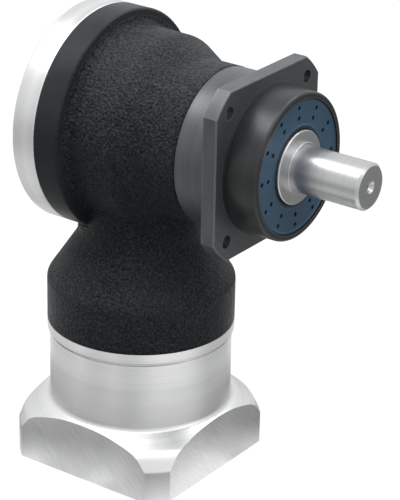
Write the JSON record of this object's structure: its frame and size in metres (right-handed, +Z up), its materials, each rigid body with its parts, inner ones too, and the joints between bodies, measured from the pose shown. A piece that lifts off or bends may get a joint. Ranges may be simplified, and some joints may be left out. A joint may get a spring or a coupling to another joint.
{
  "type": "right angle planetary gearbox",
  "caption": "Right angle planetary gearbox: square motor flange below, black angle housing with spiral bevel pair, planetary stage, round rear cover and plain output shaft in a square flange.",
  "frame": {"origin": "centre of the four motor screw holes, on the lower face of the square motor flange", "axes": "+Z up along the input axis, +X along the output shaft, out of the gearbox"},
  "size_m": [0.1482, 0.092, 0.1925],
  "materials": {
    "black_casting": "fine textured matt black paint",
    "turned_aluminium": "fine turned, bright",
    "grey_steel": "dark grey satin, machined",
    "blue_rubber": "satin blue rubber",
    "shaft_steel": "ground",
    "gear_steel": "hardened and ground, oiled",
    "bronze": "plain bronze",
    "hub_steel": "turned",
    "screw_steel": "black oxide",
    "spring_steel": "phosphated spring steel",
    "bearing_steel": "polished bearing steel",
    "black_rubber": "matt black rubber",
    "black_plastic": "matt black plastic"
  },
  "bodies": {
    "housing": {"angle_housing": "black_casting", "rear_cover": "turned_aluminium", "rear_cover_screws": "screw_steel", "rear_cover_seal": "black_rubber", "output_housing": "grey_steel", "ring_gear": "gear_steel", "output_seal": "blue_rubber", "output_retaining_ring": "spring_steel", "motor_adapter": "turned_aluminium", "adapter_screws": "screw_steel", "adapter_seal": "black_rubber", "access_plug": "black_plastic", "input_seal": "black_rubber", "input_retaining_ring": "spring_steel", "output_rear_bearing_outer_ring": "bearing_steel", "output_front_bearing_outer_ring": "bearing_steel", "crown_front_bearing_outer_ring": "bearing_steel", "crown_rear_bearing_outer_ring": "bearing_steel", "pinion_upper_bearing_outer_ring": "bearing_steel", "pinion_lower_bearing_outer_ring": "bearing_steel"},
    "output": {"output_shaft": "shaft_steel", "output_shaft_ring": "spring_steel", "planet_washers": "bronze", "planet_pin_1": "gear_steel", "planet_pin_2": "gear_steel", "planet_pin_3": "gear_steel", "output_rear_bearing_inner_ring": "bearing_steel", "output_front_bearing_inner_ring": "bearing_steel"},
    "crown": {"sun_shaft": "gear_steel", "crown_gear": "gear_steel", "crown_key": "gear_steel", "crown_shaft_ring": "spring_steel", "crown_front_bearing_inner_ring": "bearing_steel", "crown_rear_bearing_inner_ring": "bearing_steel"},
    "pinion": {"pinion_shaft": "gear_steel", "bearing_spacer": "hub_steel", "clamp_hub": "hub_steel", "clamp_ring": "hub_steel", "clamp_screw": "screw_steel", "pinion_upper_bearing_inner_ring": "bearing_steel", "pinion_lower_bearing_inner_ring": "bearing_steel"},
    "planet_1": {"planet_gear_1": "gear_steel", "planet_bushing_1": "bronze"},
    "planet_2": {"planet_gear_2": "gear_steel", "planet_bushing_2": "bronze"},
    "planet_3": {"planet_gear_3": "gear_steel", "planet_bushing_3": "bronze"},
    "output_rear_cage": {"output_rear_bearing_ball_cage": "bearing_steel"},
    "output_front_cage": {"output_front_bearing_ball_cage": "bearing_steel"},
    "crown_front_cage": {"crown_front_bearing_ball_cage": "bearing_steel"},
    "crown_rear_cage": {"crown_rear_bearing_ball_cage": "bearing_steel"},
    "pinion_upper_cage": {"pinion_upper_bearing_ball_cage": "bearing_steel"},
    "pinion_lower_cage": {"pinion_lower_bearing_ball_cage": "bearing_steel"}
  },
  "joints": [
    {"name": "output_spin", "type": "hinge", "parent": "housing", "child": "output", "pos_m": [0, 0, 0.1465], "axis": [1, 0, 0], "continuous": true},
    {"name": "crown_spin", "type": "hinge", "parent": "housing", "child": "crown", "pos_m": [0, 0, 0.1465], "axis": [1, 0, 0], "continuous": true},
    {"name": "pinion_spin", "type": "hinge", "parent": "housing", "child": "pinion", "pos_m": [0, 0, 0], "axis": [0, 0, 1], "continuous": true},
    {"name": "planet_1_spin", "type": "hinge", "parent": "output", "child": "planet_1", "pos_m": [0, 0.0162, 0.1465], "axis": [1, 0, 0], "continuous": true},
    {"name": "planet_2_spin", "type": "hinge", "parent": "output", "child": "planet_2", "pos_m": [0, -0.0081, 0.16053], "axis": [1, 0, 0], "continuous": true},
    {"name": "planet_3_spin", "type": "hinge", "parent": "output", "child": "planet_3", "pos_m": [0, -0.0081, 0.13247], "axis": [1, 0, 0], "continuous": true},
    {"name": "output_rear_cage_spin", "type": "hinge", "parent": "housing", "child": "output_rear_cage", "pos_m": [0, 0, 0.1465], "axis": [1, 0, 0], "continuous": true},
    {"name": "output_front_cage_spin", "type": "hinge", "parent": "housing", "child": "output_front_cage", "pos_m": [0, 0, 0.1465], "axis": [1, 0, 0], "continuous": true},
    {"name": "crown_front_cage_spin", "type": "hinge", "parent": "housing", "child": "crown_front_cage", "pos_m": [0, 0, 0.1465], "axis": [1, 0, 0], "continuous": true},
    {"name": "crown_rear_cage_spin", "type": "hinge", "parent": "housing", "child": "crown_rear_cage", "pos_m": [0, 0, 0.1465], "axis": [1, 0, 0], "continuous": true},
    {"name": "pinion_upper_cage_spin", "type": "hinge", "parent": "housing", "child": "pinion_upper_cage", "pos_m": [0, 0, 0], "axis": [0, 0, 1], "continuous": true},
    {"name": "pinion_lower_cage_spin", "type": "hinge", "parent": "housing", "child": "pinion_lower_cage", "pos_m": [0, 0, 0], "axis": [0, 0, 1], "continuous": true}
  ],
  "couplings": [
    {"joint": "crown_spin", "follows": "output_spin", "ratio": 4},
    {"joint": "pinion_spin", "follows": "output_spin", "ratio": -4},
    {"joint": "planet_1_spin", "follows": "output_spin", "ratio": -3},
    {"joint": "planet_2_spin", "follows": "output_spin", "ratio": -3},
    {"joint": "planet_3_spin", "follows": "output_spin", "ratio": -3},
    {"joint": "output_rear_cage_spin", "follows": "output_spin", "ratio": 0.43556},
    {"joint": "output_front_cage_spin", "follows": "output_spin", "ratio": 0.43597},
    {"joint": "crown_front_cage_spin", "follows": "output_spin", "ratio": 1.654},
    {"joint": "crown_rear_cage_spin", "follows": "output_spin", "ratio": 1.6493},
    {"joint": "pinion_upper_cage_spin", "follows": "output_spin", "ratio": -1.5804},
    {"joint": "pinion_lower_cage_spin", "follows": "output_spin", "ratio": -1.536}
  ]
}
